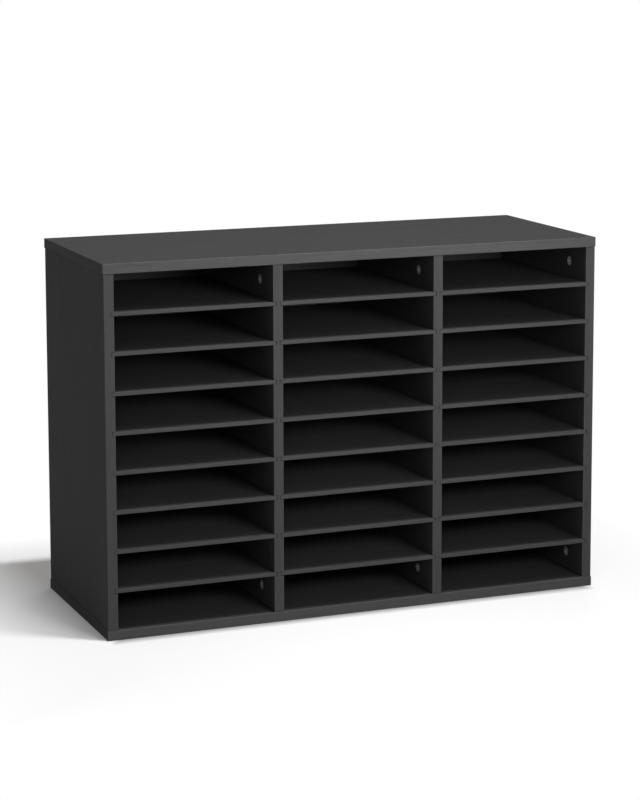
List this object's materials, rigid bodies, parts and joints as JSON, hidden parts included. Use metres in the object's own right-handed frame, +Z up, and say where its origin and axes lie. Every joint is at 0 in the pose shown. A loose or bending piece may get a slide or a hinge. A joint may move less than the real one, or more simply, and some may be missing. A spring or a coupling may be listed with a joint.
{
  "type": "literature organizer",
  "caption": "Wide open-front desk organizer of black wood-grain boards, with columns of letter-size compartments on thin shelves that slide out of grooves.",
  "frame": {"origin": "on the surface that it stands on, at the middle of the footprint", "axes": "+Z up, the open front faces -Y, +X to the right seen from the front"},
  "size_m": [0.8, 0.316, 0.56],
  "materials": {
    "board": "particle board with a black wood-grain foil, satin",
    "edge_band": "black wood-grain edge band, satin",
    "shelf": "thin fibreboard with a black wood-grain foil, satin",
    "back_board": "thin hardboard, printed black on the inside",
    "cam_metal": "die-cast zinc, dull",
    "bolt_steel": "zinc-plated steel",
    "dowel_wood": "bare beech"
  },
  "bodies": {
    "carcass": {"top_panel": "board", "bottom_panel": "board", "left_side_panel": "board", "left_divider": "board", "right_divider": "board", "right_side_panel": "board", "top_panel_edge_bands": "edge_band", "bottom_panel_edge_bands": "edge_band", "left_side_panel_edge_bands": "edge_band", "left_divider_edge_bands": "edge_band", "right_divider_edge_bands": "edge_band", "right_side_panel_edge_bands": "edge_band", "left_back_panel": "back_board", "middle_back_panel": "back_board", "right_back_panel": "back_board", "cam_locks": "cam_metal", "cam_bolts": "bolt_steel", "wood_dowels": "dowel_wood"},
    "shelf_left_1": {"shelf_left_1": "shelf"},
    "shelf_left_2": {"shelf_left_2": "shelf"},
    "shelf_left_3": {"shelf_left_3": "shelf"},
    "shelf_left_4": {"shelf_left_4": "shelf"},
    "shelf_left_5": {"shelf_left_5": "shelf"},
    "shelf_left_6": {"shelf_left_6": "shelf"},
    "shelf_left_7": {"shelf_left_7": "shelf"},
    "shelf_left_8": {"shelf_left_8": "shelf"},
    "shelf_middle_1": {"shelf_middle_1": "shelf"},
    "shelf_middle_2": {"shelf_middle_2": "shelf"},
    "shelf_middle_3": {"shelf_middle_3": "shelf"},
    "shelf_middle_4": {"shelf_middle_4": "shelf"},
    "shelf_middle_5": {"shelf_middle_5": "shelf"},
    "shelf_middle_6": {"shelf_middle_6": "shelf"},
    "shelf_middle_7": {"shelf_middle_7": "shelf"},
    "shelf_middle_8": {"shelf_middle_8": "shelf"},
    "shelf_right_1": {"shelf_right_1": "shelf"},
    "shelf_right_2": {"shelf_right_2": "shelf"},
    "shelf_right_3": {"shelf_right_3": "shelf"},
    "shelf_right_4": {"shelf_right_4": "shelf"},
    "shelf_right_5": {"shelf_right_5": "shelf"},
    "shelf_right_6": {"shelf_right_6": "shelf"},
    "shelf_right_7": {"shelf_right_7": "shelf"},
    "shelf_right_8": {"shelf_right_8": "shelf"}
  },
  "joints": [
    {"name": "shelf_left_1_slide", "type": "slide", "parent": "carcass", "child": "shelf_left_1", "axis": [0, -1, 0], "range_m": [0, 0.31]},
    {"name": "shelf_left_2_slide", "type": "slide", "parent": "carcass", "child": "shelf_left_2", "axis": [0, -1, 0], "range_m": [0, 0.31]},
    {"name": "shelf_left_3_slide", "type": "slide", "parent": "carcass", "child": "shelf_left_3", "axis": [0, -1, 0], "range_m": [0, 0.31]},
    {"name": "shelf_left_4_slide", "type": "slide", "parent": "carcass", "child": "shelf_left_4", "axis": [0, -1, 0], "range_m": [0, 0.31]},
    {"name": "shelf_left_5_slide", "type": "slide", "parent": "carcass", "child": "shelf_left_5", "axis": [0, -1, 0], "range_m": [0, 0.31]},
    {"name": "shelf_left_6_slide", "type": "slide", "parent": "carcass", "child": "shelf_left_6", "axis": [0, -1, 0], "range_m": [0, 0.31]},
    {"name": "shelf_left_7_slide", "type": "slide", "parent": "carcass", "child": "shelf_left_7", "axis": [0, -1, 0], "range_m": [0, 0.31]},
    {"name": "shelf_left_8_slide", "type": "slide", "parent": "carcass", "child": "shelf_left_8", "axis": [0, -1, 0], "range_m": [0, 0.31]},
    {"name": "shelf_middle_1_slide", "type": "slide", "parent": "carcass", "child": "shelf_middle_1", "axis": [0, -1, 0], "range_m": [0, 0.31]},
    {"name": "shelf_middle_2_slide", "type": "slide", "parent": "carcass", "child": "shelf_middle_2", "axis": [0, -1, 0], "range_m": [0, 0.31]},
    {"name": "shelf_middle_3_slide", "type": "slide", "parent": "carcass", "child": "shelf_middle_3", "axis": [0, -1, 0], "range_m": [0, 0.31]},
    {"name": "shelf_middle_4_slide", "type": "slide", "parent": "carcass", "child": "shelf_middle_4", "axis": [0, -1, 0], "range_m": [0, 0.31]},
    {"name": "shelf_middle_5_slide", "type": "slide", "parent": "carcass", "child": "shelf_middle_5", "axis": [0, -1, 0], "range_m": [0, 0.31]},
    {"name": "shelf_middle_6_slide", "type": "slide", "parent": "carcass", "child": "shelf_middle_6", "axis": [0, -1, 0], "range_m": [0, 0.31]},
    {"name": "shelf_middle_7_slide", "type": "slide", "parent": "carcass", "child": "shelf_middle_7", "axis": [0, -1, 0], "range_m": [0, 0.31]},
    {"name": "shelf_middle_8_slide", "type": "slide", "parent": "carcass", "child": "shelf_middle_8", "axis": [0, -1, 0], "range_m": [0, 0.31]},
    {"name": "shelf_right_1_slide", "type": "slide", "parent": "carcass", "child": "shelf_right_1", "axis": [0, -1, 0], "range_m": [0, 0.31]},
    {"name": "shelf_right_2_slide", "type": "slide", "parent": "carcass", "child": "shelf_right_2", "axis": [0, -1, 0], "range_m": [0, 0.31]},
    {"name": "shelf_right_3_slide", "type": "slide", "parent": "carcass", "child": "shelf_right_3", "axis": [0, -1, 0], "range_m": [0, 0.31]},
    {"name": "shelf_right_4_slide", "type": "slide", "parent": "carcass", "child": "shelf_right_4", "axis": [0, -1, 0], "range_m": [0, 0.31]},
    {"name": "shelf_right_5_slide", "type": "slide", "parent": "carcass", "child": "shelf_right_5", "axis": [0, -1, 0], "range_m": [0, 0.31]},
    {"name": "shelf_right_6_slide", "type": "slide", "parent": "carcass", "child": "shelf_right_6", "axis": [0, -1, 0], "range_m": [0, 0.31]},
    {"name": "shelf_right_7_slide", "type": "slide", "parent": "carcass", "child": "shelf_right_7", "axis": [0, -1, 0], "range_m": [0, 0.31]},
    {"name": "shelf_right_8_slide", "type": "slide", "parent": "carcass", "child": "shelf_right_8", "axis": [0, -1, 0], "range_m": [0, 0.31]}
  ]
}
